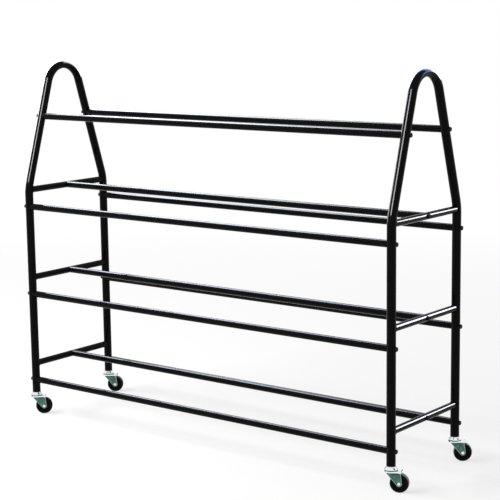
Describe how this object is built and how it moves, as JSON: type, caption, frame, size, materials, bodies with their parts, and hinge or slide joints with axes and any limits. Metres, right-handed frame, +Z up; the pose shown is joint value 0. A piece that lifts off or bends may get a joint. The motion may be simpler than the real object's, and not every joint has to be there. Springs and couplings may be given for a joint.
{
  "type": "ball cart",
  "caption": "Double-sided rolling ball rack: bent-tube end hoops joined by rails in tiers, open on both sides and above, on small swivel casters.",
  "frame": {"origin": "centre of the bounding box on the floor, casters as they stand", "axes": "+X along the rails, from the left end hoop to the right; +Y from the front rails to the rear rails; +Z up"},
  "size_m": [1.5478, 0.4278, 1.233],
  "materials": {
    "powder_coat": "glossy black powder coat on steel tube",
    "black_bolt": "blackened steel, satin",
    "plug_plastic": "black moulded nylon",
    "bright_zinc": "bright zinc plate",
    "fork_zinc": "zinc plate with a green passivation tint",
    "core_plastic": "black moulded plastic, satin",
    "tyre_rubber": "black rubber, matt"
  },
  "bodies": {
    "cart_frame": {"bottom_front_rail": "powder_coat", "bottom_front_rail_left_bolt": "black_bolt", "bottom_front_rail_right_bolt": "black_bolt", "bottom_middle_rail": "powder_coat", "bottom_rear_rail": "powder_coat", "bottom_rear_rail_left_bolt": "black_bolt", "bottom_rear_rail_right_bolt": "black_bolt", "front_left_caster_stem": "bright_zinc", "front_left_leg_plug": "plug_plastic", "front_right_caster_stem": "bright_zinc", "front_right_leg_plug": "plug_plastic", "left_bottom_crossbar": "powder_coat", "left_end_hoop": "powder_coat", "left_lower_crossbar": "powder_coat", "left_upper_crossbar": "powder_coat", "lower_front_rail": "powder_coat", "lower_front_rail_left_bolt": "black_bolt", "lower_front_rail_right_bolt": "black_bolt", "lower_middle_rail": "powder_coat", "lower_rear_rail": "powder_coat", "lower_rear_rail_left_bolt": "black_bolt", "lower_rear_rail_right_bolt": "black_bolt", "rear_left_caster_stem": "bright_zinc", "rear_left_leg_plug": "plug_plastic", "rear_right_caster_stem": "bright_zinc", "rear_right_leg_plug": "plug_plastic", "right_bottom_crossbar": "powder_coat", "right_end_hoop": "powder_coat", "right_lower_crossbar": "powder_coat", "right_upper_crossbar": "powder_coat", "top_front_rail": "powder_coat", "top_front_rail_left_bolt": "black_bolt", "top_front_rail_right_bolt": "black_bolt", "top_rear_rail": "powder_coat", "top_rear_rail_left_bolt": "black_bolt", "top_rear_rail_right_bolt": "black_bolt", "upper_front_rail": "powder_coat", "upper_front_rail_left_bolt": "black_bolt", "upper_front_rail_right_bolt": "black_bolt", "upper_middle_rail": "powder_coat", "upper_rear_rail": "powder_coat", "upper_rear_rail_left_bolt": "black_bolt", "upper_rear_rail_right_bolt": "black_bolt"},
    "front_left_swivel": {"front_left_fork": "fork_zinc", "front_left_axle": "bright_zinc"},
    "front_left_wheel": {"front_left_wheel_core": "core_plastic", "front_left_tyre": "tyre_rubber"},
    "front_right_swivel": {"front_right_fork": "fork_zinc", "front_right_axle": "bright_zinc"},
    "front_right_wheel": {"front_right_wheel_core": "core_plastic", "front_right_tyre": "tyre_rubber"},
    "rear_left_swivel": {"rear_left_fork": "fork_zinc", "rear_left_axle": "bright_zinc"},
    "rear_left_wheel": {"rear_left_wheel_core": "core_plastic", "rear_left_tyre": "tyre_rubber"},
    "rear_right_swivel": {"rear_right_fork": "fork_zinc", "rear_right_axle": "bright_zinc"},
    "rear_right_wheel": {"rear_right_wheel_core": "core_plastic", "rear_right_tyre": "tyre_rubber"}
  },
  "joints": [
    {"name": "front_left_caster_swivel", "type": "hinge", "parent": "cart_frame", "child": "front_left_swivel", "pos_m": [-0.75341, -0.19343, 0.0678], "axis": [0, 0, 1], "continuous": true},
    {"name": "front_left_wheel_spin", "type": "hinge", "parent": "front_left_swivel", "child": "front_left_wheel", "pos_m": [-0.73513, -0.17638, 0.029], "axis": [-0.682, 0.7314, 0], "continuous": true},
    {"name": "front_right_caster_swivel", "type": "hinge", "parent": "cart_frame", "child": "front_right_swivel", "pos_m": [0.72159, -0.19343, 0.0678], "axis": [0, 0, 1], "continuous": true},
    {"name": "front_right_wheel_spin", "type": "hinge", "parent": "front_right_swivel", "child": "front_right_wheel", "pos_m": [0.74425, -0.18287, 0.029], "axis": [-0.4226, 0.9063, 0], "continuous": true},
    {"name": "rear_left_caster_swivel", "type": "hinge", "parent": "cart_frame", "child": "rear_left_swivel", "pos_m": [-0.75341, 0.17657, 0.0678], "axis": [0, 0, 1], "continuous": true},
    {"name": "rear_left_wheel_spin", "type": "hinge", "parent": "rear_left_swivel", "child": "rear_left_wheel", "pos_m": [-0.73269, 0.19055, 0.029], "axis": [-0.5592, 0.829, 0], "continuous": true},
    {"name": "rear_right_caster_swivel", "type": "hinge", "parent": "cart_frame", "child": "rear_right_swivel", "pos_m": [0.72159, 0.17657, 0.0678], "axis": [0, 0, 1], "continuous": true},
    {"name": "rear_right_wheel_spin", "type": "hinge", "parent": "rear_right_swivel", "child": "rear_right_wheel", "pos_m": [0.74256, 0.19018, 0.029], "axis": [-0.5446, 0.8387, 0], "continuous": true}
  ]
}
